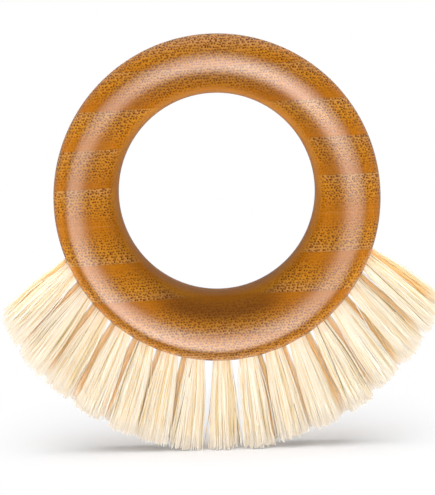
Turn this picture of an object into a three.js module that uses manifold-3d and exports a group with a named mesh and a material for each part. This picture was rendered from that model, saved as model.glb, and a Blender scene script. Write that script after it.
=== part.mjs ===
// Vegetable brush with a ring handle: a ring turned from glued bamboo boards, with two rows of
// stapled fibre tufts fanning out of its lower rim.
// Millimetres, +Z up, the front faces -Y. The brush stands on its tuft tips at z = 0.

import * as THREE from 'three';
import { mergeGeometries, mergeVertices } from 'three/addons/utils/BufferGeometryUtils.js';
import Module from 'manifold-3d';

const wasm = await Module();
wasm.setup();

// Ring handle
const RING_RADIUS = 47.5;
const BORE_RADIUS = 28.8;
const BORE_RISE = 1.8; // the finger hole is bored this far above the ring's centre
const RING_DEPTH = 24; // front to back along the crest
const CREST_INSET = 6.4; // from the rim in to the crest, the thickest line of the section
const SECTION_POWER = 2.3; // 2 gives the section's halves an ellipse's curve, more a fuller one
const RING_STEPS = 60;
const SECTION_STEPS = 20;

// Glued boards, from the top: a top board, an arch, boards cut in two by the finger hole, a thin-webbed
// board under the hole, and two more down to the bottom of the rim
const TOP_SEAM_DROP = 1.55; // the top glue line lies this far under the middle of the wood above the hole
const SPLIT_BOARDS = 4; // boards that the finger hole cuts in two
const BOARD_THICKNESS = 11;
const SPLIT_RISE = 5; // the middle of those boards lies this far above the ring's centre
const HOLE_WEB = 1.5; // wood left in the board under the finger hole
const BOTTOM_BOARD = 8; // thickness of the bottom board, up from the rim

// Tufts
const TUFTS_PER_SECTOR = 5; // in each row
const TUFT_DIAMETER = 4.8;
const TUFT_GAP = 2.9; // clear rim between neighbouring tufts of a row
const BACK_SPREAD = 1.5; // the back row's tufts stand this much further from the middle one
const ROW_OFFSET = 3.2; // each row's distance from the ring's middle plane, at the rim
const ROW_SPLAY = 2.5; // a row's tips stand this much further from the middle plane than its holes
const FOCUS_RISE = 21; // the tufts aim away from a point this far above the ring's centre
const FREE_LENGTH = 26.3; // rim to tip, at the bottom of the fan
const END_TRIM = 2.2; // the fan's ends are trimmed shorter by this
const END_TRIM_POWER = 6;

// Strands
const STRAND_RINGS = [1, 4, 7]; // strands on each circle of a tuft, from its middle out
const STRAND_WIDTH = 0.75; // circle through its corners
const STRAND_SIDES = 3;
const STRAND_INSET = 0.15; // from the outer strands to the flats of their butt
const TIP_GAP = 2.4; // between the strands of neighbouring tufts, at their tips
const TIP_FLARE = 5; // reach of the outer strands towards the front or back, at their tips
const LENGTH_SCATTER = 0.9;
const STAND_TRIM = 0.85; // depth of the flat cut where the brush stands

// Holes and staples
const HOLE_DEPTH = 10; // from the rim, along the tuft
const HOLE_SIDES = 8;
const WIRE = 0.8;
const CROWN_WIDTH = 3.6;
const CROWN_CHAMFER = 0.4;
const LEG_BITE = 3; // how far the legs go into the wood below the hole
const FIT_GAP = 0.3; // between a piece and the seat that is cut for it
const SLICE_EDGE = 0.8; // thickness of the rim slice along its front and back edges
const SLICE_MARGIN = 1; // rim slice left beyond the outermost tufts
const MOUTH_RISE = 0.5; // the packed fibres fill the hole and stand this far out of it
const OVERCUT = 5; // cutters run past the ring by this

// Values worked out from the sizes above
const crestRadius = RING_RADIUS - CREST_INSET;
const halfDepth = RING_DEPTH / 2;
const tuftRadius = TUFT_DIAMETER / 2;
const holeRadius = tuftRadius + FIT_GAP;
const strandReach = tuftRadius * Math.cos(Math.PI / HOLE_SIDES) - STRAND_WIDTH / 2 - STRAND_INSET;
const tipRadius = RING_RADIUS + FREE_LENGTH;
const ringHeight = tipRadius - STAND_TRIM;
const sliceHalf = ROW_OFFSET + tuftRadius + SLICE_MARGIN;
const sliceFloor = rimRadius(sliceHalf) - SLICE_EDGE;
const crownTop = FIT_GAP + WIRE;
const boreTop = BORE_RISE + BORE_RADIUS;
const boreBottom = BORE_RISE - BORE_RADIUS;
const sectorReach = (TUFTS_PER_SECTOR - 1) / 2;
const fanReach = sectorReach + TUFTS_PER_SECTOR;

const pitchAngle = (TUFT_DIAMETER + TUFT_GAP) / RING_RADIUS;
const spreadAngle = BACK_SPREAD / RING_RADIUS;
const fanAngle = fanReach * pitchAngle + spreadAngle + (tuftRadius + SLICE_MARGIN) / RING_RADIUS;
const rows = [
  { name: 'front', side: -1, spread: 0 },
  { name: 'back', side: 1, spread: spreadAngle },
];

// Materials

function bamboo() {
  return new THREE.MeshStandardMaterial({ color: '#b8752c', roughness: 0.35, metalness: 0 });
}

function plantFibre() {
  return new THREE.MeshStandardMaterial({ color: '#f0dfba', roughness: 0.8, metalness: 0 });
}

function stapleWire() {
  return new THREE.MeshStandardMaterial({ color: '#b4b8bc', roughness: 0.35, metalness: 1 });
}

// Solids: joining and cutting

function toSolid(geometry) {
  const bare = new THREE.BufferGeometry();
  bare.setAttribute('position', geometry.attributes.position);
  bare.setIndex(geometry.index);
  const merged = mergeVertices(bare);
  return new wasm.Manifold(new wasm.Mesh({
    numProp: 3,
    vertProperties: Float32Array.from(merged.attributes.position.array),
    triVerts: Uint32Array.from(merged.index.array),
  }));
}

function toGeometry(solid) {
  const cut = solid.getMesh();
  const geometry = new THREE.BufferGeometry();
  geometry.setAttribute('position', new THREE.BufferAttribute(cut.vertProperties, 3));
  geometry.setIndex(new THREE.BufferAttribute(cut.triVerts, 1));
  geometry.computeVertexNormals();
  return geometry;
}

function namedMesh(name, geometry, material) {
  const mesh = new THREE.Mesh(geometry, material);
  mesh.name = name;
  return mesh;
}

// A box between two corners
function block(low, high) {
  const box = new THREE.BoxGeometry(high[0] - low[0], high[1] - low[1], high[2] - low[2]);
  box.translate((low[0] + high[0]) / 2, (low[1] + high[1]) / 2, (low[2] + high[2]) / 2);
  return box;
}

// Ring

// Radius of the rim at a distance y from the middle plane: the outer half of the section is half an oval
function rimRadius(y) {
  return crestRadius + CREST_INSET * (1 - (y / halfDepth) ** SECTION_POWER) ** (1 / SECTION_POWER);
}

// Distance from the ring's centre to the finger hole's wall, in the direction of an angle from straight down
function boreDistance(angle) {
  const along = -BORE_RISE * Math.cos(angle);
  return along + Math.sqrt(along ** 2 - BORE_RISE ** 2 + BORE_RADIUS ** 2);
}

// A point at a radius and an angle from straight down, y from the middle plane
function polar(radius, angle, y) {
  return new THREE.Vector3(radius * Math.sin(angle), y, ringHeight - radius * Math.cos(angle));
}

// A sine or cosine, bent so that an ellipse becomes a fuller oval
function fuller(value) {
  return Math.sign(value) * Math.abs(value) ** (2 / SECTION_POWER);
}

// An egg-shaped section, blunt outside and long inside, carried round the ring. The inner half reaches to
// the finger hole, so the ring is thinnest at the top.
function ringGeometry() {
  const positions = [];
  const triangles = [];
  for (let step = 0; step < RING_STEPS; step++) {
    const angle = (2 * Math.PI * step) / RING_STEPS;
    const innerInset = crestRadius - boreDistance(angle);
    for (let turn = 0; turn < SECTION_STEPS; turn++) {
      const around = (2 * Math.PI * turn) / SECTION_STEPS;
      const outward = fuller(Math.cos(around));
      const inset = outward > 0 ? CREST_INSET : innerInset;
      const point = polar(crestRadius + inset * outward, angle, halfDepth * fuller(Math.sin(around)));
      positions.push(point.x, point.y, point.z);

      const nextStep = ((step + 1) % RING_STEPS) * SECTION_STEPS;
      const nextTurn = (turn + 1) % SECTION_STEPS;
      const corner = step * SECTION_STEPS + turn;
      const across = step * SECTION_STEPS + nextTurn;
      triangles.push(corner, nextStep + nextTurn, nextStep + turn);
      triangles.push(corner, across, nextStep + nextTurn);
    }
  }
  const geometry = new THREE.BufferGeometry();
  geometry.setAttribute('position', new THREE.Float32BufferAttribute(positions, 3));
  geometry.setIndex(triangles);
  return geometry;
}

// A block that holds the rim between two angles, from a floor radius out past the rim
function rimBlock(floor, fromAngle, toAngle, half) {
  const down = -Math.PI / 2;
  const outline = new THREE.Shape();
  outline.absarc(0, 0, floor, down + fromAngle, down + toAngle, false);
  outline.absarc(0, 0, RING_RADIUS + OVERCUT, down + toAngle, down + fromAngle, true);
  const stepAngle = (2 * Math.PI) / RING_STEPS;
  const curveSegments = Math.ceil((toAngle - fromAngle) / stepAngle);
  const geometry = new THREE.ExtrudeGeometry(outline, { depth: 2 * half, bevelEnabled: false, curveSegments });
  geometry.rotateX(Math.PI / 2);
  geometry.translate(0, half, ringHeight);
  return geometry;
}

// Tufts

// A tuft's frame: +X along its row, +Z out of the rim, with the origin on the rim
function tuftMatrix(row, index) {
  const angle = index * pitchAngle + Math.sign(index) * row.spread;
  const root = polar(rimRadius(ROW_OFFSET), angle, row.side * ROW_OFFSET);
  const aim = Math.atan2(root.x, ringHeight + FOCUS_RISE - root.z);
  const out = new THREE.Vector3(Math.sin(aim), 0, -Math.cos(aim));
  const along = new THREE.Vector3(Math.cos(aim), 0, Math.sin(aim));
  const across = new THREE.Vector3().crossVectors(out, along);
  return new THREE.Matrix4().makeBasis(along, across, out).setPosition(root);
}

function polygon(centre, radius, sides) {
  const corners = [];
  for (let corner = 0; corner < sides; corner++) {
    const around = (2 * Math.PI * corner) / sides;
    corners.push(new THREE.Vector2(Math.cos(around), Math.sin(around)).multiplyScalar(radius).add(centre));
  }
  return corners;
}

function atHeight(corners, z) {
  return corners.map((corner) => new THREE.Vector3(corner.x, corner.y, z));
}

// Triangles of the wall between two rings of points, and of a flat face with a convex edge
function wall(lower, upper) {
  return lower.flatMap((corner, count) => {
    const next = (count + 1) % lower.length;
    return [corner, lower[next], upper[next], corner, upper[next], upper[count]];
  });
}

function face(edge) {
  return edge.slice(2).flatMap((corner, count) => [edge[0], edge[count + 1], corner]);
}

// How far a straight line runs until it is a given radius from the ring's centre, seen from the front
function lengthToRadius(start, direction, radius) {
  const x = start.x;
  const z = start.z - ringHeight;
  const square = direction.x ** 2 + direction.z ** 2;
  const inward = x * direction.x + z * direction.z;
  const rest = x ** 2 + z ** 2 - radius ** 2;
  return (Math.sqrt(inward ** 2 - square * rest) - inward) / square;
}

// The angle from straight down at which a line from a tuft meets the fan's round edge
function edgeAngle(start, direction) {
  const end = start.clone().addScaledVector(direction, lengthToRadius(start, direction, tipRadius));
  return Math.abs(Math.atan2(end.x, ringHeight - end.z));
}

function fanEndAngle() {
  const last = tuftMatrix(rows[1], fanReach);
  const start = new THREE.Vector3().setFromMatrixPosition(last);
  return edgeAngle(start, new THREE.Vector3(0, 0, 1).transformDirection(last));
}

// The line of one strand, from its foot to its tip, in its tuft's frame. The tip is trimmed to the fan's
// round edge, which falls in at the ends of the fan.
function strandLine(foot, flare, splay, matrix, endAngle, scatter) {
  const start = new THREE.Vector3(foot.x, foot.y, MOUTH_RISE);
  const end = new THREE.Vector3(foot.x * flare.x, foot.y * flare.y + splay, FREE_LENGTH);
  const direction = end.sub(start).normalize();
  const worldStart = start.clone().applyMatrix4(matrix);
  const worldDirection = direction.clone().transformDirection(matrix);
  const trim = END_TRIM * (edgeAngle(worldStart, worldDirection) / endAngle) ** END_TRIM_POWER;
  return direction.multiplyScalar(lengthToRadius(worldStart, worldDirection, tipRadius - trim - scatter));
}

// Where the strands of a tuft stand: on circles about its middle. Left tufts mirror right ones, and the
// back row mirrors the front row.
function strandFeet(row, index) {
  const mirror = index < 0 ? -1 : 1;
  return STRAND_RINGS.flatMap((count, ring) => {
    const circle = (strandReach * ring) / (STRAND_RINGS.length - 1);
    return polygon(new THREE.Vector2(), circle, count)
      .map((foot) => new THREE.Vector2(foot.y * mirror, foot.x * row.side));
  });
}

// A closed tuft: a butt packed into the hole, with a strand on each foot in its flat mouth. The strands
// spread by one factor each way, so that none cross.
function tuftGeometry(row, index, endAngle) {
  const matrix = tuftMatrix(row, index);
  const focusDistance = RING_RADIUS + FOCUS_RISE;
  const tipPitch = (pitchAngle * RING_RADIUS * (focusDistance + FREE_LENGTH)) / focusDistance;
  const flare = new THREE.Vector2((tipPitch - TIP_GAP) / 2, TIP_FLARE).divideScalar(strandReach);
  const goldenPart = (Math.sqrt(5) - 1) / 2;

  const edge = polygon(new THREE.Vector2(), tuftRadius, HOLE_SIDES);
  const mouth = new THREE.Shape(edge);
  const end = atHeight(edge, -HOLE_DEPTH + crownTop + FIT_GAP);
  const points = [...wall(end, atHeight(edge, MOUTH_RISE)), ...face(end.toReversed())];
  strandFeet(row, index).forEach((foot, count) => {
    const footEdge = polygon(foot, STRAND_WIDTH / 2, STRAND_SIDES);
    mouth.holes.push(new THREE.Path(footEdge));
    const scatter = LENGTH_SCATTER * ((count * goldenPart) % 1);
    const line = strandLine(foot, flare, -row.side * ROW_SPLAY, matrix, endAngle, scatter);
    const lower = atHeight(footEdge, MOUTH_RISE);
    const upper = lower.map((corner) => corner.clone().add(line));
    points.push(...wall(lower, upper), ...face(upper));
  });
  const mouthFace = new THREE.ShapeGeometry(mouth).toNonIndexed().translate(0, 0, MOUTH_RISE);
  const tuft = new THREE.BufferGeometry().setFromPoints(points);
  mouthFace.deleteAttribute('normal');
  mouthFace.deleteAttribute('uv');
  return mergeGeometries([tuft, mouthFace]).applyMatrix4(matrix);
}

// A third of the fan: its tufts, on the slice of rim that they come out of
function bristleSector(ring, sector, endAngle) {
  const inner = (sectorReach + 0.5) * pitchAngle + spreadAngle / 2;
  const halfGap = FIT_GAP / 2 / RING_RADIUS;
  const spans = [
    [-fanAngle, -inner - halfGap],
    [-inner + halfGap, inner - halfGap],
    [inner + halfGap, fanAngle],
  ];
  const [from, to] = spans[sector + 1];

  const sectorTufts = [];
  for (const row of rows) {
    for (let place = -sectorReach; place <= sectorReach; place++) {
      sectorTufts.push(tuftGeometry(row, sector * TUFTS_PER_SECTOR + place, endAngle));
    }
  }
  const slice = ring.intersect(toSolid(rimBlock(sliceFloor, from, to, sliceHalf)));
  const far = 2 * tipRadius;
  const aboveStand = toSolid(block([-far, -far, 0], [far, far, far]));
  return slice.add(toSolid(mergeGeometries(sectorTufts))).intersect(aboveStand);
}

// Staples, in their tuft's frame

// A flat-wire staple, its crown just above the hole's bottom and its legs in the wood below
function stapleGeometry() {
  const half = CROWN_WIDTH / 2;
  const staple = new THREE.Shape([
    new THREE.Vector2(-half, -LEG_BITE),
    new THREE.Vector2(-half + WIRE, -LEG_BITE),
    new THREE.Vector2(-half + WIRE, FIT_GAP),
    new THREE.Vector2(half - WIRE, FIT_GAP),
    new THREE.Vector2(half - WIRE, -LEG_BITE),
    new THREE.Vector2(half, -LEG_BITE),
    new THREE.Vector2(half, crownTop - CROWN_CHAMFER),
    new THREE.Vector2(half - CROWN_CHAMFER, crownTop),
    new THREE.Vector2(-half + CROWN_CHAMFER, crownTop),
    new THREE.Vector2(-half, crownTop - CROWN_CHAMFER),
  ]);
  const geometry = new THREE.ExtrudeGeometry(staple, { depth: WIRE, bevelEnabled: false });
  geometry.translate(0, 0, -WIRE / 2);
  geometry.rotateX(Math.PI / 2);
  geometry.translate(0, 0, -HOLE_DEPTH);
  return geometry;
}

// The hole for a tuft and the two holes that its staple's legs make
function tuftSeat(matrix) {
  const edge = new THREE.Shape(polygon(new THREE.Vector2(), holeRadius, HOLE_SIDES));
  const hole = new THREE.ExtrudeGeometry(edge, { depth: HOLE_DEPTH + OVERCUT, bevelEnabled: false });
  hole.translate(0, 0, -HOLE_DEPTH);
  const legHalf = WIRE / 2 + FIT_GAP;
  const legEnd = -HOLE_DEPTH - LEG_BITE - FIT_GAP;
  const legs = [-1, 1].map((side) => {
    const legX = (side * (CROWN_WIDTH - WIRE)) / 2;
    return block([legX - legHalf, -legHalf, legEnd], [legX + legHalf, legHalf, FIT_GAP - HOLE_DEPTH]);
  });
  return [hole, ...legs]
    .map((cutter) => toSolid(cutter.applyMatrix4(matrix)))
    .reduce((whole, cutter) => whole.add(cutter));
}

function everyTuft() {
  const tufts = [];
  for (const row of rows) {
    for (let index = -fanReach; index <= fanReach; index++) {
      tufts.push({ name: `${row.name}_${index + fanReach + 1}`, matrix: tuftMatrix(row, index) });
    }
  }
  return tufts;
}

// Boards

// Heights of the glue lines from the ring's centre, from the top down
function glueLines() {
  const splitTop = SPLIT_RISE + (SPLIT_BOARDS * BOARD_THICKNESS) / 2;
  const lines = [(boreTop + RING_RADIUS) / 2 - TOP_SEAM_DROP];
  for (let count = 0; count <= SPLIT_BOARDS; count++) {
    lines.push(splitTop - count * BOARD_THICKNESS);
  }
  lines.push(boreBottom - HOLE_WEB, BOTTOM_BOARD - RING_RADIUS);
  return lines;
}

// The ring with its tuft seats, sawn into boards. A board that lies wholly beside the finger hole is in two.
function boardSolids(seatedRing) {
  const edges = [RING_RADIUS + OVERCUT, ...glueLines(), -RING_RADIUS - OVERCUT];
  const wide = RING_RADIUS + OVERCUT;
  const deep = halfDepth + OVERCUT;
  const boards = [];
  for (let board = 1; board < edges.length; board++) {
    const top = edges[board - 1];
    const bottom = edges[board];
    const halves = top < boreTop && bottom > boreBottom
      ? [['_left', -wide, 0], ['_right', 0, wide]]
      : [['', -wide, wide]];
    for (const [side, from, to] of halves) {
      const slab = block([from, -deep, ringHeight + bottom], [to, deep, ringHeight + top]);
      boards.push([`ring_board_${board}${side}`, seatedRing.intersect(toSolid(slab))]);
    }
  }
  return boards;
}

// Assembly

const ring = toSolid(ringGeometry());
const tufts = everyTuft();
const grooveEnd = fanAngle + FIT_GAP / RING_RADIUS;
const groove = toSolid(rimBlock(sliceFloor - FIT_GAP, -grooveEnd, grooveEnd, sliceHalf + FIT_GAP));
const seats = tufts.map((tuft) => tuftSeat(tuft.matrix)).reduce((whole, seat) => whole.add(seat), groove);

const handle = new THREE.Group();
for (const [name, solid] of boardSolids(ring.subtract(seats))) {
  handle.add(namedMesh(name, toGeometry(solid), bamboo()));
}

const fan = new THREE.Group();
const endAngle = fanEndAngle();
[['left', -1], ['middle', 0], ['right', 1]].forEach(([name, sector]) => {
  const solid = bristleSector(ring, sector, endAngle);
  fan.add(namedMesh(`bristles_${name}`, toGeometry(solid), plantFibre()));
});

const anchors = new THREE.Group();
for (const { name, matrix } of tufts) {
  const staple = namedMesh(`staple_${name}`, stapleGeometry(), stapleWire());
  staple.applyMatrix4(matrix);
  anchors.add(staple);
}

const brush = new THREE.Group();
brush.add(handle, fan, anchors);

export default brush;
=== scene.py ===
"""Looks of a vegetable brush: a lacquered bamboo ring with two rows of plant-fibre tufts.

Lengths are metres in the frame's own axes: +Z up, the front faces -Y, the tuft tips stand at z = 0.
"""

import math

import bpy
import numpy as np
from bpy.props import FloatProperty, FloatVectorProperty, IntProperty, PointerProperty
from mathutils import Euler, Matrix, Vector


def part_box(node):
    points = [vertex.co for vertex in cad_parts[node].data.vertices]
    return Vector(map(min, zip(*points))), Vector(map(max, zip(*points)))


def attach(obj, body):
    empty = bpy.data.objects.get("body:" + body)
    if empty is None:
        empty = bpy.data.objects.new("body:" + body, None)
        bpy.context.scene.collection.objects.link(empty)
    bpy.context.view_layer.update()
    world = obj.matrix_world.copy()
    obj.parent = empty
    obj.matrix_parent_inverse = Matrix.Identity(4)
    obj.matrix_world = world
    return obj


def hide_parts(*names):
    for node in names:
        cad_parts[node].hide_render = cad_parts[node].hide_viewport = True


bl_info = {
    "name": "Vegetable Brush",
    "version": (1, 0, 0),
    "blender": (4, 5, 0),
    "location": "View3D > Sidebar > Brush",
    "description": "Dresses a ring-handled vegetable brush in bamboo and plant fibre",
    "category": "Object",
}

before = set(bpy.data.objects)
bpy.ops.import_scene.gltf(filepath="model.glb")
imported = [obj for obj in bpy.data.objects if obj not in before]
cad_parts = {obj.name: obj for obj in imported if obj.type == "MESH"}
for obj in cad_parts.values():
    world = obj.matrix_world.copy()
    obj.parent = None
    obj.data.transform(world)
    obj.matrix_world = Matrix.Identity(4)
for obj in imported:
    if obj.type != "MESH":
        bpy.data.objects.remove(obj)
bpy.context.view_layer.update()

MM = 0.001

# The widest board gives the ring's radius and depth, and the top board its height
WIDEST_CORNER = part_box("ring_board_5_right")[1]
RING_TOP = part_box("ring_board_1")[1].z
BOARD_NODES = sorted(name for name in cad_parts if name.startswith("ring_board"))
STAPLE_NODES = sorted(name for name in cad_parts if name.startswith("staple"))
SECTORS = ("left", "middle", "right")


def linear(hex_colour):
    """Turns an sRGB hex colour into linear red, green and blue."""
    channels = [int(hex_colour[place:place + 2], 16) / 255 for place in (1, 3, 5)]
    return tuple(c / 12.92 if c <= 0.04045 else ((c + 0.055) / 1.055) ** 2.4 for c in channels)


def length(name, description, millimetres):
    """A length property, its default written in millimetres."""
    return FloatProperty(
        name=name, description=description, default=millimetres * MM, unit="LENGTH", precision=5
    )


def angle(name, description, degrees):
    """An angle property, its default written in degrees."""
    return FloatProperty(
        name=name, description=description, default=math.radians(degrees), subtype="ANGLE"
    )


def colour(name, description, hex_colour):
    """A colour property, its default written as sRGB hex."""
    return FloatVectorProperty(
        name=name, description=description, default=linear(hex_colour), subtype="COLOR", min=0, max=1
    )


def power(name, description, watts):
    """A lamp's power property, its default in watts."""
    return FloatProperty(name=name, description=description, default=watts, subtype="POWER")


class RingSettings(bpy.types.PropertyGroup):
    """Sizes and colours of the ring handle."""

    radius: length("Radius", "Centre of the ring to its rim", WIDEST_CORNER.x / MM)
    depth: length("Depth", "Front to back along the crest", 2 * WIDEST_CORNER.y / MM)
    bore_radius: length("Hole radius", "Radius of the finger hole", 28.5)
    bore_rise: length("Hole rise", "Finger hole's centre above the ring's centre", 1.8)
    crest_inset: length("Crest inset", "From the rim in to the thickest line of the section", 6.4)
    section_power: FloatProperty(
        name="Section power",
        description="2 gives the section an ellipse's curve, more a fuller one",
        default=2.3,
    )
    board: length("Board", "Thickness of a glued board", 11)
    seam_rise: length("Seam rise", "Height of a glue line above the ring's centre", 4.8)
    seam_tilt: angle("Seam tilt", "Slope of the glue lines across the ring", 1.7)
    turn_over: IntProperty(
        name="Turned boards",
        description="Boards below this number lie with their skin side down",
        default=-1,
    )
    outer_boards: IntProperty(
        name="Outer boards",
        description="Boards this far from the turned one are cut near the skin, all dotted",
        default=4,
    )
    dot_spacing: length("Fibre spacing", "Distance between fibre bundles in the end grain", 0.8)
    dot_radius: length("Fibre radius", "Radius of a fibre bundle at the skin side of a board", 0.245)
    honey: colour("Honey", "Bamboo at the soft side of a board", "#AE6804")
    gold: colour("Gold", "Bamboo in the middle of a board", "#BC7C1C")
    tan: colour("Tan", "Bamboo between the bundles at the skin side of a board", "#BC8440")
    toffee: colour("Toffee", "Redder streaks", "#8C4E0D")
    bundle: colour("Bundle", "Fibre bundles in the end grain", "#5A2A03")
    # Painted shade: this dark colour is mixed into the hollow under the hole in place of the shade that falls
    # there
    hollow_shade: colour("Umber", "Darker wood in the hollow under the hole", "#4E2606")
    pale_glue: colour("Pale glue", "Glue lines between two soft sides", "#DDAA66")


class TuftSettings(bpy.types.PropertyGroup):
    """Sizes and colours of the fibre tufts."""

    per_row: IntProperty(name="Tufts", description="Tufts in each row", default=15, min=3)
    diameter: length("Diameter", "Width of a tuft where it leaves the rim", 4.8)
    gap: length("Gap", "Clear rim between neighbouring tufts of a row", 2.9)
    back_spread: length("Back spread", "How much further the back row's tufts stand from the middle one", 1.5)
    row_offset: length("Row offset", "Each row's distance from the middle plane", 3.2)
    row_splay: length("Row splay", "How much further a row's tips stand from the middle plane", 2.5)
    focus_rise: length("Focus rise", "Tufts aim away from a point this far above the ring's centre", 21)
    free_length: length("Free length", "Rim to tip at the bottom of the fan", 26.3)
    end_trim: length("End trim", "The fan's ends are shorter by this", 2.2)
    tip_half: length("Tip half width", "Half a tuft's width along the row, at its tips", 4.4)
    tip_flare: length("Tip flare", "Half a tuft's width across the row, at its tips", 4.6)
    strands: IntProperty(name="Strands", description="Strands in a tuft", default=260, min=10)
    strand_width: length("Strand width", "Thickness of a strand", 0.3)
    hole_gap: length("Hole gap", "Clear space round a tuft in its hole", 0.25)
    seed: IntProperty(name="Seed", description="Start of the random draws", default=7)
    pale: colour("Pale", "Most strands", "#FFF7E6")
    cream: colour("Cream", "Strands in the middle of the range", "#FCEACC")
    straw: colour("Straw", "Darker strands", "#ECD29C")
    olive: colour("Olive", "The few darkest strands", "#8F7A4C")
    # Painted light: the amber of light that passes between the rows, put on the strands facing the other row
    amber: colour("Amber", "Shaded strands on the side of the other row", "#FFC878")
    worn: colour("Cut ends", "Cut ends of the strands", "#F8EEDF")


class StageSettings(bpy.types.PropertyGroup):
    """Camera, lamps and floor."""

    view_height: length("View height", "Height of the picture at the brush", 144.2)
    view_distance: length("View distance", "Camera to brush", 800)
    elevation: angle("Elevation", "Camera above the horizon", 3)
    roll: angle("Roll", "Camera turned about its view", 1.75)
    aim_x: length("Aim X", "Point in the middle of the picture", -0.3)
    aim_z: length("Aim Z", "Point in the middle of the picture", 58.25)
    ambient: FloatProperty(name="Ambient", description="Light from all round", default=0.1, min=0)
    key: power("Key", "Ring's soft box in front", 13.0)
    sheen: power("Sheen", "Soft box that the lacquer mirrors", 116.0)
    fill: power("Fill", "Tufts' lamp beside the camera", 5.3)
    back: power("Back", "Soft box behind", 14.0)
    top: power("Top", "Strip lamp over the brush", 9.8)
    floor: power("Floor", "Floor's soft box overhead", 21.0)
    sides: power("Sides", "Strip lamp at each side", 5.2)


# Meshes


def mesh_object(name, points, faces, attributes=None):
    """Makes a smooth mesh from a point array and a list of faces, with named values for its points."""
    mesh = bpy.data.meshes.new(name)
    mesh.from_pydata(points.reshape(-1, 3).tolist(), [], faces)
    for key, values in (attributes or {}).items():
        layer = mesh.attributes.new(key, "FLOAT", "POINT")
        layer.data.foreach_set("value", np.ascontiguousarray(values, np.float32).ravel())
    mesh.shade_smooth()
    piece = bpy.data.objects.new(name, mesh)
    bpy.context.scene.collection.objects.link(piece)
    return piece


def closed_grid(rows, columns):
    """Quads of a grid of points that closes on itself both ways."""
    row, column = np.meshgrid(np.arange(rows), np.arange(columns), indexing="ij")
    next_row = (row + 1) % rows
    next_column = (column + 1) % columns
    corners = [(row, column), (row, next_column), (next_row, next_column), (next_row, column)]
    return np.stack([r * columns + c for r, c in corners], axis=-1).reshape(-1, 4).tolist()


def tube_quads(tubes, rings, sides):
    """Quads of many tubes of square section, each with its rings of points in turn and a cap at each end."""
    ring, side = np.meshgrid(np.arange(rings - 1), np.arange(sides), indexing="ij")
    next_side = (side + 1) % sides
    corners = [(ring, side), (ring, next_side), (ring + 1, next_side), (ring + 1, side)]
    walls = np.stack([r * sides + s for r, s in corners], axis=-1).reshape(-1, sides)
    start = np.arange(sides)[::-1][None]
    end = (rings - 1) * sides + np.arange(sides)[None]
    one = np.concatenate([walls, start, end])
    return (one[None] + (np.arange(tubes) * rings * sides)[:, None, None]).reshape(-1, sides).tolist()


def unit(vectors):
    """Vectors of an array, each brought to length one."""
    return vectors / np.linalg.norm(vectors, axis=-1, keepdims=True)


# Ring

RING_STEPS = 320
SECTION_STEPS = 120
SHARP_EDGE = math.radians(50)

# Distances from the hole's edge: the band where the dots begin, and the middle and the end of the hollow,
# where shade is painted
WALL_START = 0.6 * MM
WALL_END = 3 * MM
HOLLOW = 6.5 * MM
HOLLOW_END = 1.9 * HOLLOW
PAINTED_SHADE_SHARE = 0.68
WALL_SKIN = 0.5

# Where round the hole the painted shade in the hollow fades out, as minus the cosine of the angle from
# straight down
HOLLOW_SIDE = -0.78
HOLLOW_MIDDLE = -0.97


def ring_height(ring):
    """Height of the ring's centre."""
    return RING_TOP - ring.radius


def rim_radius(ring, y):
    """Radius of the rim at a small distance y from the middle plane, where it is nearly half an oval."""
    fall = (1 - (2 * abs(y) / ring.depth) ** ring.section_power) ** (1 / ring.section_power)
    return ring.radius - ring.crest_inset * (1 - fall)


def polar(ring, radius, turn, y):
    """Points at a radius and an angle from straight down, y from the middle plane."""
    radius, turn, y = np.broadcast_arrays(radius, turn, y)
    return np.stack([radius * np.sin(turn), y, ring_height(ring) - radius * np.cos(turn)], axis=-1)


def ring_points(ring):
    """An egg-shaped section carried round the ring.

    The section starts as an ellipse whose sine and cosine are raised to a power below one. A term with the
    square of that cosine leans it outwards, so its thickest line lies at the crest. It reaches from the rim
    to the finger hole, which is bored off centre, so that reach follows the law of cosines.
    """
    turn = np.linspace(0, 2 * np.pi, RING_STEPS, endpoint=False)[:, None]
    around = np.linspace(0, 2 * np.pi, SECTION_STEPS, endpoint=False)[None]
    crest = ring.radius - ring.crest_inset
    shift = -ring.bore_rise * np.cos(turn)
    bore = shift + np.sqrt(shift**2 - ring.bore_rise**2 + ring.bore_radius**2)
    outward, forward = (
        np.sign(wave) * np.abs(wave) ** (2 / ring.section_power) for wave in (np.cos(around), np.sin(around))
    )
    half_width = (ring.radius - bore) / 2
    lean = (ring.radius + bore) / 2 - crest
    radius = crest + half_width * outward + lean * outward**2
    return polar(ring, radius, turn, ring.depth / 2 * forward)


# Tufts

HOLE_SIDES = 32
HOLE_DEPTH = 4 * MM
CUT_PAST = 6 * MM
STRAND_RINGS = 6
STRAND_SIDES = 4
ROOT_DEPTH = 2.5 * MM
GOLDEN_TURN = np.pi * (3 - np.sqrt(5))
LEVEL = 1e-6  # a strand flatter than this never reaches the floor

# Draws that scatter the strands
STRAY_SHARE = 0.07
STRAY_FACTOR = 4.0
TIP_SPLAY = 0.45 * MM
TUFT_SWAY = 0.35 * MM
TUFT_SWELL = 0.05
TIP_RAGGED = 1.7 * MM
TUFT_RAGGED = 0.4 * MM
STRAND_BOW = 0.22 * MM
TUFT_BULGE = 0.35 * MM
TIP_TAPER = 0.3
END_TRIM_POWER = 6
FLOOR_CLEARANCE = 0.05 * MM
STRAND_RANGE = (0.75, 1.2)


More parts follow.
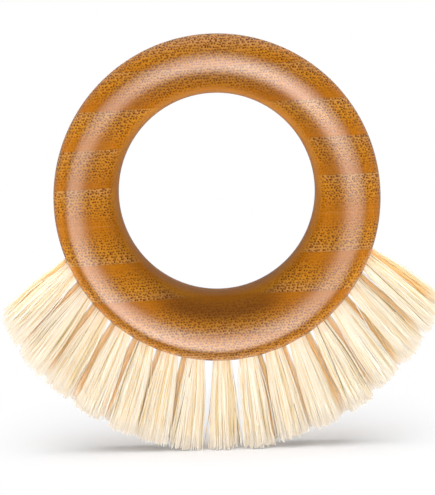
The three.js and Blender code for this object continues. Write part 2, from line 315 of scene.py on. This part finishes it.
def row_frames(ring, tufts, side, spread):
    """Roots and axes of one row's tufts: along the row, across it, and out of the rim.

    A root lies on the rim, and its axis points away from a point above the ring's centre.
    """
    reach = (tufts.per_row - 1) // 2
    index = np.arange(-reach, reach + 1)
    turn = (index * (tufts.diameter + tufts.gap) + np.sign(index) * spread) / ring.radius
    root = polar(ring, rim_radius(ring, tufts.row_offset), turn, side * tufts.row_offset)
    aim = np.arctan2(root[:, 0], ring_height(ring) + tufts.focus_rise - root[:, 2])
    out = np.stack([np.sin(aim), np.zeros_like(aim), -np.cos(aim)], axis=-1)
    along = np.stack([np.cos(aim), np.zeros_like(aim), np.sin(aim)], axis=-1)
    return root, along, np.cross(out, along), out


def both_rows(ring, tufts):
    """The front row and the back row: side of the middle plane, roots and axes."""
    rows = ((-1, 0), (1, tufts.back_spread))
    return [(side, *row_frames(ring, tufts, side, spread)) for side, spread in rows]


def hole_cutter(ring, tufts):
    """Round prisms, one for each tuft, that run from inside the rim out past it."""
    around = np.linspace(0, 2 * np.pi, HOLE_SIDES, endpoint=False)
    radius = tufts.diameter / 2 + tufts.hole_gap
    meshes = []
    for _, root, along, across, out in both_rows(ring, tufts):
        circle = np.cos(around)[:, None] * along[:, None] + np.sin(around)[:, None] * across[:, None]
        levels = np.array([-HOLE_DEPTH, CUT_PAST])[:, None, None] * out[:, None, None]
        meshes.append(root[:, None, None] + levels + radius * circle[:, None])
    points = np.concatenate(meshes).reshape(-1, 3)
    low = np.arange(0, len(points), 2 * HOLE_SIDES)[:, None] + np.arange(HOLE_SIDES)
    high = low + HOLE_SIDES
    walls = np.stack([low, np.roll(low, -1, axis=1), np.roll(high, -1, axis=1), high], axis=-1)
    ends = np.concatenate([low[:, ::-1], high])
    return mesh_object("hole_cutter", points, [*walls.reshape(-1, 4).tolist(), *ends.tolist()])


def reach_of_fan(ring, foot, direction, radius):
    """How far lines run, seen from the front, until they are a given radius from the ring's centre."""
    x, z = foot[..., 0], foot[..., 2] - ring_height(ring)
    dx, dz = direction[..., 0], direction[..., 2]
    square = dx**2 + dz**2
    inward = x * dx + z * dz
    return (np.sqrt(inward**2 - square * (x**2 + z**2 - radius**2)) - inward) / square


def row_strands(ring, tufts, row, draws):
    """Points of all the strands of a row, and three values for each: tone, place along it, and shade.

    The feet fill a round hole as sunflower seeds do. Each strand is a slightly bowed line from its foot to
    a target that spreads the hole's disc over the tuft's tip. It ends at the fan's round edge, which falls
    in at the ends of the fan, or at the floor.
    """
    side, root, along, across, out = row
    size = (len(root), tufts.strands)
    seed_place = np.arange(tufts.strands)[None]
    circle = np.sqrt((seed_place + 0.5) / tufts.strands)
    spin = seed_place * GOLDEN_TURN + draws.uniform(0, 2 * np.pi, (len(root), 1))
    disc_along = circle * np.cos(spin)
    disc_across = circle * np.sin(spin)

    stray = np.where(draws.random(size) < STRAY_SHARE, STRAY_FACTOR, 1.0)
    splay = draws.normal(0, TIP_SPLAY, (2, *size)) * stray
    tuft_sway = draws.normal(0, TUFT_SWAY, (len(root), 1))
    swell = draws.normal(1, TUFT_SWELL, (len(root), 1))

    def place(*steps):
        axes = (along[:, None], across[:, None], out[:, None])
        return root[:, None] + sum(step[..., None] * axis for step, axis in zip(steps, axes))

    packed = tufts.diameter / 2 - tufts.strand_width / 2
    foot = place(disc_along * packed, disc_across * packed, np.full(size, -ROOT_DEPTH))
    target = place(
        disc_along * tufts.tip_half * swell + splay[0] + tuft_sway,
        disc_across * tufts.tip_flare + splay[1] - side * tufts.row_splay,
        np.full(size, tufts.free_length),
    )
    direction = unit(target - foot)

    tip_radius = ring.radius + tufts.free_length
    edge = foot + direction * reach_of_fan(ring, foot, direction, tip_radius)[..., None]
    edge_angle = np.abs(np.arctan2(edge[..., 0], ring_height(ring) - edge[..., 2]))
    trim = tufts.end_trim * (edge_angle / edge_angle.max()) ** END_TRIM_POWER
    ragged = np.abs(draws.normal(0, TIP_RAGGED, size))
    ragged = ragged + np.abs(draws.normal(0, TUFT_RAGGED, (len(root), 1)))
    run = reach_of_fan(ring, foot, direction, tip_radius - trim - ragged)
    floor_run = (foot[..., 2] - FLOOR_CLEARANCE) / np.maximum(-direction[..., 2], LEVEL)
    run = np.minimum(run, floor_run)

    t = np.linspace(0, 1, STRAND_RINGS)
    bow = draws.normal(0, STRAND_BOW, (2, *size)) * np.sqrt(stray)
    bow = bow + TUFT_BULGE * np.stack([disc_along, disc_across])
    bend = bow[0, ..., None] * along[:, None] + bow[1, ..., None] * across[:, None]
    centre = foot[:, :, None] + (direction * run[..., None])[:, :, None] * t[:, None]
    centre = centre + bend[:, :, None] * np.sin(np.pi * t)[:, None] ** 2

    thickness = tufts.strand_width / np.sqrt(2) * draws.uniform(*STRAND_RANGE, size)
    taper = 1 - TIP_TAPER * t**3
    around = np.linspace(0, 2 * np.pi, STRAND_SIDES, endpoint=False) + np.pi / STRAND_SIDES
    circle = np.cos(around)[:, None] * along[:, None] + np.sin(around)[:, None] * across[:, None]
    width = (thickness[:, :, None] * taper)[..., None, None]
    points = centre[:, :, :, None] + width * circle[:, None, None]

    tone = draws.random(size)[..., None, None]
    shade = (0.5 + 0.5 * side * disc_across)[..., None, None]
    values = [np.broadcast_to(v, points.shape[:-1]) for v in (tone, t[:, None], shade)]
    return points, values


# Materials

SMOOTH = {"interpolation_type": "SMOOTHSTEP"}
STRAND_VALUES = ("tone", "along", "shade")

# Bamboo: lengths in the end grain, and shares from 0 to 1
WANDER = 9 * MM
WANDER_SHARE = 0.5
RIPPLE = 0.6 * MM
RIPPLE_REACH = 0.3 * MM
STREAK_WIDTH = 0.5 * MM
STREAK_LENGTH = 14 * MM
GLUE_LINE = 0.16 * MM
GLUE_SHARE = 0.2
LACQUER_SINK = 0.06 * MM
BOARD_SHIFT = 0.37  # moves each board's pattern this far from the next one's, so that none repeats
OUTER_SKIN = 0.4  # how much nearer to the skin an outer board is cut
DOT_EDGE = 0.13  # soft edge of a fibre bundle, as a share of the spacing
DOT_SCATTER = 0.58  # how far the bundles stray from an even grid
SMALL_DOT = 0.7  # radius of a bundle at the soft side, as a share of one at the skin side
SOFT_INK = 0.4  # darkness of the bundles at the soft side, where 1 is full
FULL_INK = 0.45  # how near to the skin side the bundles are at full darkness
FAINT_INK = 0.65  # darkness of the faintest bundle
STREAK_MIX = 0.6  # share of the streaks in the redness, beside the board's own tone
REDNESS_START = 0.2
REDNESS_SHARE = 0.5

# Plant fibre: shares from 0 to 1
AMBER_START = 0.45
AMBER_END = 0.95
AMBER_SHARE = 0.8
CUT_START = 0.8
CUT_SHARE = 0.7

# Steel wire: size of its mottling
MOTTLE = 0.2 * MM


def add_node(tree, kind, inputs=None, stops=(), **settings):
    """Adds a shader node with its settings and links, and a colour ramp's stops of position and colour.

    An input is a value, a socket, or a node whose first output in use is taken.
    """
    node = tree.nodes.new(f"ShaderNode{kind}")
    for name, value in settings.items():
        setattr(node, name, value)
    for name, value in (inputs or {}).items():
        if isinstance(value, bpy.types.Node):
            value = next(socket for socket in value.outputs if socket.enabled)
        if isinstance(value, bpy.types.NodeSocket):
            tree.links.new(value, node.inputs[name])
        else:
            node.inputs[name].default_value = value
    if stops:
        elements = node.color_ramp.elements
        while len(elements) < len(stops):
            elements.new(0.5)
        for element, (position, stop_colour) in zip(elements, stops):
            element.position = position
            element.color = (*stop_colour, 1)
    return node


def new_material(name):
    """A material with no nodes yet, and its node tree."""
    material = bpy.data.materials.new(name)
    material.use_nodes = True
    material.node_tree.nodes.clear()
    return material, material.node_tree


def bamboo_material(ring):
    """Carbonised bamboo boards, glued, turned and lacquered.

    The fibres run front to back, so the front shows end grain: dark fibre bundles, close together at each
    board's skin side and fading out towards its soft side. Where the wood turns away at the rim, the same
    bundles show as streaks. The hole's wall is side grain, where dots and boards blur. Shade is painted into
    the hollow under the hole as a darker band. Satin lacquer gives a broad soft highlight.
    """
    material, tree = new_material("lacquered_bamboo")
    turn = Euler((0, ring.seam_tilt, 0))
    centre = Vector((0, 0, ring_height(ring) + ring.seam_rise))
    centre.rotate(turn)
    points = add_node(tree, "TexCoord").outputs["Object"]
    place = add_node(tree, "Mapping", {"Vector": points, "Rotation": turn, "Location": -centre})
    x, _, z = add_node(tree, "SeparateXYZ", {"Vector": place}).outputs

    # Number of the board from the glue line at seam_rise up, and the height in it from 0 to 1
    boards = add_node(tree, "Math", {0: z, 1: ring.board}, operation="DIVIDE")
    number = add_node(tree, "Math", {0: boards}, operation="FLOOR")
    height = add_node(tree, "Math", {0: boards}, operation="FRACT")
    turned = add_node(tree, "Math", {0: number, 1: ring.turn_over - 0.5}, operation="LESS_THAN")
    flipped = add_node(tree, "Math", {0: 1.0, 1: height}, operation="SUBTRACT")
    skin = add_node(tree, "Mix", {"Factor": turned, "A": height, "B": flipped})

    # The outer boards are dotted all over
    from_turned = add_node(tree, "Math", {0: number, 1: ring.turn_over}, operation="SUBTRACT")
    from_turned = add_node(tree, "Math", {0: from_turned}, operation="ABSOLUTE")
    outer = add_node(tree, "Math", {0: from_turned, 1: ring.outer_boards - 0.5}, operation="GREATER_THAN")
    skin = add_node(tree, "Math", {0: outer, 1: OUTER_SKIN, 2: skin}, operation="MULTIPLY_ADD")

    # Shares of end grain, beyond the hole's wall, and of the painted shade in the hollow under the hole
    hole = Vector((0, 0, ring_height(ring) + ring.bore_rise))
    from_hole = add_node(tree, "VectorMath", {0: points, 1: hole}, operation="SUBTRACT")
    flat = add_node(tree, "VectorMath", {0: from_hole, 1: (1, 0, 1)}, operation="MULTIPLY")
    radius = add_node(tree, "VectorMath", {0: flat}, operation="LENGTH")
    toward = add_node(tree, "VectorMath", {0: flat}, operation="NORMALIZE")
    rise = add_node(tree, "SeparateXYZ", {"Vector": toward}).outputs["Z"]
    reaches = (WALL_START, WALL_END, HOLLOW, HOLLOW_END)
    wall_start, wall_end, deepest, hollow_end = (ring.bore_radius + reach for reach in reaches)
    rising = add_node(
        tree, "MapRange", {"Value": radius, "From Min": wall_start, "From Max": deepest}, **SMOOTH
    )
    falling = add_node(
        tree, "MapRange", {"Value": radius, "From Min": hollow_end, "From Max": deepest}, **SMOOTH
    )
    under = add_node(
        tree, "MapRange", {"Value": rise, "From Min": HOLLOW_SIDE, "From Max": HOLLOW_MIDDLE}, **SMOOTH
    )
    wall_end = add_node(tree, "MapRange", {"Value": under, "To Min": wall_end, "To Max": deepest})
    end_grain = add_node(
        tree, "MapRange", {"Value": radius, "From Min": wall_start, "From Max": wall_end}, **SMOOTH
    )
    hollow = add_node(tree, "Math", {0: rising, 1: falling}, operation="MULTIPLY")
    hollow = add_node(tree, "Math", {0: hollow, 1: under}, operation="MULTIPLY")
    hollow = add_node(tree, "Math", {0: hollow, 1: PAINTED_SHADE_SHARE}, operation="MULTIPLY")
    skin = add_node(tree, "Mix", {"Factor": end_grain, "A": WALL_SKIN, "B": skin})

    # The skin side's edge wanders along a board
    wander = add_node(tree, "TexNoise", {"Vector": place, "Scale": 1 / WANDER, "Detail": 2.0})
    wander = add_node(
        tree, "Math", {0: wander, 1: WANDER_SHARE, 2: -WANDER_SHARE / 2}, operation="MULTIPLY_ADD"
    )
    skin = add_node(tree, "Math", {0: skin, 1: wander}, operation="ADD")

    # Fibre bundles: uneven dots in the end grain, each row half a step from the next
    shift = add_node(tree, "Math", {0: number, 1: BOARD_SHIFT, 2: x}, operation="MULTIPLY_ADD")
    grain = add_node(tree, "CombineXYZ", {"X": shift, "Y": z})
    ripple = add_node(tree, "TexNoise", {"Vector": grain, "Scale": 1 / RIPPLE, "Detail": 1.0})
    reach = (RIPPLE_REACH, RIPPLE_REACH, 0)
    ripple = add_node(
        tree, "VectorMath", {0: ripple.outputs["Color"], 1: reach, 2: grain}, operation="MULTIPLY_ADD"
    )
    across, up, _ = add_node(tree, "SeparateXYZ", {"Vector": ripple}).outputs
    dot_row = add_node(tree, "Math", {0: up, 1: ring.dot_spacing}, operation="DIVIDE")
    dot_row = add_node(tree, "Math", {0: dot_row}, operation="FLOOR")
    half_step = ring.dot_spacing / 2
    across = add_node(tree, "Math", {0: dot_row, 1: half_step, 2: across}, operation="MULTIPLY_ADD")
    staggered = add_node(tree, "CombineXYZ", {"X": across, "Y": up})
    dots = add_node(
        tree,
        "TexVoronoi",
        {"Vector": staggered, "Scale": 1 / ring.dot_spacing, "Randomness": DOT_SCATTER},
        voronoi_dimensions="2D",
        feature="F1",
    )
    share = ring.dot_radius / ring.dot_spacing
    size = add_node(tree, "MapRange", {"Value": skin, "To Min": SMALL_DOT * share, "To Max": share})
    edge = add_node(tree, "Math", {0: size, 1: DOT_EDGE}, operation="ADD")
    away = dots.outputs["Distance"]
    dot = add_node(tree, "MapRange", {"Value": away, "From Min": edge, "From Max": size}, **SMOOTH)
    density = add_node(
        tree, "MapRange", {"Value": skin, "From Max": FULL_INK, "To Min": SOFT_INK, "To Max": 1.0}, **SMOOTH
    )
    strength = add_node(tree, "SeparateColor", {"Color": dots.outputs["Color"]})
    red = strength.outputs["Red"]
    uneven = add_node(tree, "MapRange", {"Value": red, "To Min": FAINT_INK, "To Max": 1.0})
    ink = add_node(tree, "Math", {0: dot, 1: density}, operation="MULTIPLY")
    ink = add_node(tree, "Math", {0: ink, 1: uneven}, operation="MULTIPLY")
    ink = add_node(tree, "Math", {0: ink, 1: end_grain}, operation="MULTIPLY")

    # Boards differ in tone, and fine fibres run along them
    board_tone = add_node(tree, "TexWhiteNoise", {"W": number}, noise_dimensions="1D")
    fineness = (1 / STREAK_WIDTH, 1 / STREAK_LENGTH, 1 / STREAK_WIDTH)
    streak_place = add_node(tree, "Mapping", {"Vector": place, "Scale": fineness})
    streaks = add_node(tree, "TexNoise", {"Vector": streak_place, "Scale": 1.0, "Detail": 3.0})
    tones = {"A": board_tone.outputs["Value"], "B": streaks}
    redness = add_node(tree, "Mix", {"Factor": STREAK_MIX, **tones})
    redness = add_node(
        tree, "MapRange", {"Value": redness, "From Min": REDNESS_START, "To Max": REDNESS_SHARE}
    )
    stops = ((0.15, ring.honey), (0.7, ring.gold), (1.0, ring.tan))
    wood = add_node(tree, "ValToRGB", {"Fac": skin}, stops)
    wood = add_node(tree, "Mix", {"Factor": redness, "A": wood, "B": (*ring.toffee, 1)}, data_type="RGBA")
    # Painted shade: the hollow under the hole is darkened by a mask round the hole, not by darker wood
    wood = add_node(tree, "Mix", {"Factor": hollow, "A": wood, "B": (*ring.hollow_shade, 1)}, data_type="RGBA")
    wood = add_node(tree, "Mix", {"Factor": ink, "A": wood, "B": (*ring.bundle, 1)}, data_type="RGBA")

    # Glue lines: pale between two soft sides, dark elsewhere
    to_seam = add_node(tree, "Math", {0: boards, 1: 0.5}, operation="PINGPONG")
    width = GLUE_LINE / ring.board
    seam = add_node(tree, "MapRange", {"Value": to_seam, "From Min": width, "From Max": 0.0})
    nearest = add_node(tree, "Math", {0: boards}, operation="ROUND")
    soft_seam = add_node(tree, "Math", {0: nearest, 1: ring.turn_over, 2: 0.1}, operation="COMPARE")
    glue_colours = {"A": (*ring.bundle, 1), "B": (*ring.pale_glue, 1)}
    glue = add_node(tree, "Mix", {"Factor": soft_seam, **glue_colours}, data_type="RGBA")
    seam = add_node(tree, "Math", {0: seam, 1: end_grain}, operation="MULTIPLY")
    seam = add_node(tree, "Math", {0: seam, 1: GLUE_SHARE}, operation="MULTIPLY")
    wood = add_node(tree, "Mix", {"Factor": seam, "A": wood, "B": glue}, data_type="RGBA")

    # Lacquer sinks a little over the bundles
    roughness = add_node(tree, "MapRange", {"Value": streaks, "To Min": 0.36, "To Max": 0.5})
    relief = add_node(tree, "Bump", {"Height": ink, "Strength": 0.25, "Distance": LACQUER_SINK}, invert=True)
    lacquer = {"Coat Weight": 1.0, "Coat IOR": 1.4, "Coat Roughness": 0.25}
    shader = add_node(
        tree,
        "BsdfPrincipled",
        {
            "Base Color": wood,
            "Roughness": roughness,
            "Normal": relief,
            "IOR": 1.5,
            "Specular IOR Level": 0.0,
            **lacquer,
        },
    )
    add_node(tree, "OutputMaterial", {"Surface": shader})
    return material


def fibre_material(tufts):
    """Undyed plant fibre, split and trimmed.

    Strands differ from pale cream to straw, a few are olive. Light that has passed between the two rows
    comes out amber, and that light is painted: strands that face the other row are drawn amber. The cut ends
    are greyer.
    """
    material, tree = new_material("plant_fibre")
    tone, along, shade = (
        add_node(tree, "Attribute", attribute_name=name).outputs["Fac"] for name in STRAND_VALUES
    )
    stops = ((0.0, tufts.olive), (0.05, tufts.straw), (0.4, tufts.cream), (0.85, tufts.pale))
    strand = add_node(tree, "ValToRGB", {"Fac": tone}, stops)
    # Painted light: strands facing the other row are tinted amber in place of the light that passes between
    # the rows
    amber = add_node(
        tree,
        "MapRange",
        {"Value": shade, "From Min": AMBER_START, "From Max": AMBER_END, "To Max": AMBER_SHARE},
        **SMOOTH,
    )
    strand = add_node(tree, "Mix", {"Factor": amber, "A": strand, "B": (*tufts.amber, 1)}, data_type="RGBA")
    cut_end = add_node(
        tree,
        "MapRange",
        {"Value": along, "From Min": CUT_START, "From Max": 1.0, "To Max": CUT_SHARE},
        **SMOOTH,
    )
    strand = add_node(tree, "Mix", {"Factor": cut_end, "A": strand, "B": (*tufts.worn, 1)}, data_type="RGBA")
    shader = add_node(tree, "BsdfPrincipled", {"Base Color": strand, "Roughness": 0.55, "IOR": 1.45})
    add_node(tree, "OutputMaterial", {"Surface": shader})
    return material


def wire_material():
    """Drawn steel wire: a bright metal, faintly mottled where the die has rubbed it."""
    material, tree = new_material("drawn_steel_wire")
    points = add_node(tree, "TexCoord").outputs["Object"]
    mottling = add_node(tree, "TexNoise", {"Vector": points, "Scale": 1 / MOTTLE, "Detail": 2.0})
    roughness = add_node(tree, "MapRange", {"Value": mottling, "To Min": 0.25, "To Max": 0.45})
    greys = {"A": (*linear("#A9ADB1"), 1), "B": (*linear("#C4C6C8"), 1)}
    tint = add_node(tree, "Mix", {"Factor": mottling, **greys}, data_type="RGBA")
    shader = add_node(tree, "BsdfPrincipled", {"Base Color": tint, "Metallic": 1.0, "Roughness": roughness})
    add_node(tree, "OutputMaterial", {"Surface": shader})
    return material


# Stage

FLOOR_HALF = 1.5
PAPER = "#DADBDD"
MIRRORED_WHITE = 0.2
FLOOR_GLOW = 0.25
LAMP_DISTANCE = 0.9
CLIP_END = 20

# The floor's shaded patch is an oval: scale of its depth, shift towards the back, and where it fades
PATCH_OVAL = (1, 0.55, 1)
PATCH_SHIFT = (0, -25 * MM, 0)
PATCH_FADE = 35 * MM
PATCH_END = 85 * MM

KEY_WAY = Vector((-0.12, -1, -0.42))
KEY_SIZE = (0.8, 0.8)
SHEEN_WAY = Vector((-0.17, -1, -0.45))
SHEEN_SIZE = (1.5, 1.45)
FILL_SIZE = (0.12, 0.12)
BACK_WAY = Vector((0.1, 1, 0.5))
BACK_SIZE = (1.2, 1.2)
TOP_WAY = Vector((0, 0.09, 1))
TOP_SIZE = (1.0, 0.2)
FLOOR_LAMP_WAY = Vector((0, -0.4, 1))
FLOOR_LAMP_SIZE = (1.5, 2.2)
SIDE_RISE = 0.1
SIDE_SIZE = (0.3, 1.0)


def floor_material():
    """Matt white paper, which takes the brush's shadow.

    The camera sees the paper a little brighter than it is lit, and beyond an oval patch round the brush it
    sees plain white without any shading.
    """
    material, tree = new_material("white_paper")
    paper = add_node(tree, "BsdfDiffuse", {"Color": (*linear(PAPER), 1)})
    seen = add_node(tree, "LightPath").outputs["Is Camera Ray"]
    glow = add_node(tree, "Math", {0: seen, 1: FLOOR_GLOW}, operation="MULTIPLY")
    glow = add_node(tree, "Emission", {"Strength": glow})
    near = add_node(tree, "AddShader", {0: paper, 1: glow})
    white = add_node(tree, "Emission", {"Color": (1, 1, 1, 1)})
    points = add_node(tree, "TexCoord").outputs["Object"]
    oval = add_node(tree, "VectorMath", {0: points, 1: PATCH_OVAL, 2: PATCH_SHIFT}, operation="MULTIPLY_ADD")
    distance = add_node(tree, "VectorMath", {0: oval}, operation="LENGTH")
    fade = add_node(
        tree, "MapRange", {"Value": distance, "From Min": PATCH_FADE, "From Max": PATCH_END}, **SMOOTH
    )
    share = add_node(tree, "Math", {0: fade, 1: seen}, operation="MULTIPLY")
    surface = add_node(tree, "MixShader", {0: share, 1: near, 2: white})
    add_node(tree, "OutputMaterial", {"Surface": surface})
    return material


def soft_box(name, aim, way, watts, size, lit=(), mirrored=False):
    """A lamp some way off from a point, facing it. It lights only the pieces named, as a flagged lamp does.

    The lacquer mirrors one lamp alone, which in turn lights nothing else. Its light falls off to its edge.
    """
    lamp = bpy.data.lights.new(name, "AREA")
    lamp.energy = watts
    lamp.shape = "RECTANGLE"
    lamp.size, lamp.size_y = size
    holder = bpy.data.objects.new(name, lamp)
    holder.location = aim + LAMP_DISTANCE * way.normalized()
    holder.rotation_euler = way.to_track_quat("Z", "Y").to_euler()
    holder.visible_camera = False
    holder.visible_glossy = mirrored
    holder.visible_diffuse = not mirrored
    bpy.context.scene.collection.objects.link(holder)
    if lit:
        pieces = bpy.data.collections.new(f"lit by {name}")
        for piece in lit:
            pieces.objects.link(bpy.data.objects[piece])
        holder.light_linking.receiver_collection = pieces
    if mirrored:
        soften_edge(lamp)


def soften_edge(lamp):
    """Makes a lamp brightest in its middle and dark at its edge, as the cloth of a soft box is."""
    lamp.use_nodes = True
    tree = lamp.node_tree
    tree.nodes.clear()
    face = add_node(tree, "TexCoord").outputs["UV"]
    off_centre = add_node(tree, "VectorMath", {0: face, 1: (0.5, 0.5, 0)}, operation="SUBTRACT")
    radius = add_node(tree, "VectorMath", {0: off_centre}, operation="LENGTH")
    level = add_node(tree, "MapRange", {"Value": radius, "From Min": 0.5, "From Max": 0.0}, **SMOOTH)
    light = add_node(tree, "Emission", {"Strength": level})
    add_node(tree, "OutputLight", {"Surface": light})


def white_surroundings(strength):
    """Even grey light all round, which the camera sees as white and the lacquer mirrors as pale grey."""
    world = bpy.data.worlds.new("white_surroundings")
    world.use_nodes = True
    tree = world.node_tree
    tree.nodes.clear()
    path = add_node(tree, "LightPath").outputs
    bent = {0: path["Is Glossy Ray"], 1: path["Is Transmission Ray"]}
    bent = add_node(tree, "Math", bent, operation="MAXIMUM")
    bent = add_node(tree, "Math", {0: bent, 1: MIRRORED_WHITE}, operation="MULTIPLY")
    seen = add_node(tree, "Math", {0: path["Is Camera Ray"], 1: bent}, operation="MAXIMUM")
    level = add_node(tree, "MapRange", {"Value": seen, "To Min": strength, "To Max": 1.0})
    light = add_node(tree, "Background", {"Color": (1, 1, 1, 1), "Strength": level})
    add_node(tree, "OutputWorld", {"Surface": light})
    bpy.context.scene.world = world


def camera_side(stage):
    """Direction from the brush to the camera."""
    return Vector((0, -math.cos(stage.elevation), math.sin(stage.elevation)))


def make_camera(stage):
    """A long lens in front of the brush, a little above it and turned slightly about its view."""
    camera = bpy.data.cameras.new("camera")
    camera.lens = camera.sensor_width * stage.view_distance / stage.view_height
    camera.clip_end = CLIP_END
    holder = bpy.data.objects.new("camera", camera)
    aim = Vector((stage.aim_x, 0, stage.aim_z))
    back = camera_side(stage)
    facing = (-back).to_track_quat("-Z", "Y").to_matrix()
    holder.location = aim + stage.view_distance * back
    holder.rotation_euler = (facing @ Euler((0, 0, -stage.roll)).to_matrix()).to_euler()
    bpy.context.scene.collection.objects.link(holder)
    bpy.context.scene.camera = holder


# Operators


class BRUSH_OT_ring(bpy.types.Operator):
    """Make the lacquered bamboo ring with its tuft holes"""

    bl_idname = "brush.ring"
    bl_label = "Ring Handle"

    def execute(self, context):
        ring = context.scene.brush_ring
        cutter = hole_cutter(ring, context.scene.brush_tufts)
        piece = mesh_object("ring_handle", ring_points(ring), closed_grid(RING_STEPS, SECTION_STEPS))
        cut = piece.modifiers.new("tuft holes", "BOOLEAN")
        cut.operation = "DIFFERENCE"
        cut.solver = "EXACT"
        cut.object = cutter
        depsgraph = context.evaluated_depsgraph_get()
        bored = bpy.data.meshes.new_from_object(piece.evaluated_get(depsgraph))
        piece.modifiers.clear()
        piece.data = bored
        bpy.data.objects.remove(cutter)
        if len(bored.polygons) <= RING_STEPS * SECTION_STEPS // 2:
            raise RuntimeError("the ring lost its surface when its tuft holes were cut")
        bored.shade_smooth()
        bored.set_sharp_from_angle(angle=SHARP_EDGE)
        bored.materials.clear()
        bored.materials.append(bamboo_material(ring))
        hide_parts(*BOARD_NODES)
        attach(piece, "root")
        return {"FINISHED"}


class BRUSH_OT_tufts(bpy.types.Operator):
    """Make the two rows of fibre tufts, in three pieces"""

    bl_idname = "brush.tufts"
    bl_label = "Fibre Tufts"

    def execute(self, context):
        ring = context.scene.brush_ring
        tufts = context.scene.brush_tufts
        if tufts.per_row % len(SECTORS):
            raise RuntimeError("the tufts of a row have to share out evenly between the three pieces")
        material = fibre_material(tufts)
        draws = np.random.default_rng(tufts.seed)
        rows = [row_strands(ring, tufts, row, draws) for row in both_rows(ring, tufts)]
        share = tufts.per_row // len(SECTORS)
        quads = tube_quads(2 * share * tufts.strands, STRAND_RINGS, STRAND_SIDES)
        for count, sector in enumerate(SECTORS):
            span = slice(count * share, (count + 1) * share)
            points = np.concatenate([points[span] for points, _ in rows])
            values = {
                name: np.concatenate([row[1][place][span] for row in rows])
                for place, name in enumerate(STRAND_VALUES)
            }
            piece = mesh_object(f"tufts_{sector}", points, quads, values)
            piece.data.materials.append(material)
            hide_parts(f"bristles_{sector}")
            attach(piece, "root")
        return {"FINISHED"}


class BRUSH_OT_staples(bpy.types.Operator):
    """Give the staples in the holes their drawn wire"""

    bl_idname = "brush.staples"
    bl_label = "Staples"

    def execute(self, context):
        material = wire_material()
        for name in STAPLE_NODES:
            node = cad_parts[name]
            node.data.materials.clear()
            node.data.materials.append(material)
        return {"FINISHED"}


class BRUSH_OT_stage(bpy.types.Operator):
    """Set up the camera, the soft boxes, the surroundings and the paper floor"""

    bl_idname = "brush.stage"
    bl_label = "Stage"

    def execute(self, context):
        stage = context.scene.brush_stage
        context.scene.view_settings.view_transform = "Standard"
        make_camera(stage)
        white_surroundings(stage.ambient)

        corners = np.array([[-1, -1, 0], [1, -1, 0], [1, 1, 0], [-1, 1, 0]]) * FLOOR_HALF
        floor = mesh_object("paper_floor", corners, [[0, 1, 2, 3]])
        floor.data.materials.append(floor_material())
        floor.visible_shadow = False
        floor.visible_glossy = False

        aim = Vector((0, 0, stage.aim_z))
        tufts = [f"tufts_{sector}" for sector in SECTORS]
        brush = ["ring_handle", *tufts]
        soft_box("front_soft_box", aim, KEY_WAY, stage.key, KEY_SIZE, ["ring_handle"])
        soft_box("sheen_soft_box", aim, SHEEN_WAY, stage.sheen, SHEEN_SIZE, mirrored=True)
        soft_box("camera_lamp", aim, camera_side(stage), stage.fill, FILL_SIZE, tufts)
        soft_box("back_soft_box", aim, BACK_WAY, stage.back, BACK_SIZE, brush)
        soft_box("top_strip", aim, TOP_WAY, stage.top, TOP_SIZE, brush)
        soft_box("floor_soft_box", aim, FLOOR_LAMP_WAY, stage.floor, FLOOR_LAMP_SIZE, ["paper_floor"])
        soft_box("left_strip", aim, Vector((-1, 0, SIDE_RISE)), stage.sides, SIDE_SIZE, brush)
        soft_box("right_strip", aim, Vector((1, 0, SIDE_RISE)), stage.sides, SIDE_SIZE, brush)
        return {"FINISHED"}


class BRUSH_PT_sidebar(bpy.types.Panel):
    """Lists the brush's pieces and the sizes that shape them"""

    bl_label = "Vegetable Brush"
    bl_idname = "BRUSH_PT_sidebar"
    bl_space_type = "VIEW_3D"
    bl_region_type = "UI"
    bl_category = "Brush"

    def draw(self, context):
        for operators, settings in PANEL_ROWS:
            box = self.layout.box()
            for operator in operators:
                box.operator(operator)
            group = getattr(context.scene, settings)
            for name in group.bl_rna.properties.keys():
                if name not in ("rna_type", "name"):
                    box.prop(group, name)


PANEL_ROWS = (
    (("brush.ring",), "brush_ring"),
    (("brush.tufts", "brush.staples"), "brush_tufts"),
    (("brush.stage",), "brush_stage"),
)
GROUPS = {"brush_ring": RingSettings, "brush_tufts": TuftSettings, "brush_stage": StageSettings}
CLASSES = (
    *GROUPS.values(),
    BRUSH_OT_ring,
    BRUSH_OT_tufts,
    BRUSH_OT_staples,
    BRUSH_OT_stage,
    BRUSH_PT_sidebar,
)


def register():
    """Registers the classes and gives each scene its settings."""
    for each in CLASSES:
        bpy.utils.register_class(each)
    for name, group in GROUPS.items():
        setattr(bpy.types.Scene, name, PointerProperty(type=group))


def unregister():
    """Takes back what register does."""
    for name in GROUPS:
        delattr(bpy.types.Scene, name)
    for each in reversed(CLASSES):
        bpy.utils.unregister_class(each)


def main():
    register()
    bpy.ops.brush.ring()
    bpy.ops.brush.tufts()
    bpy.ops.brush.staples()
    bpy.ops.brush.stage()


if __name__ == "__main__":
    main()
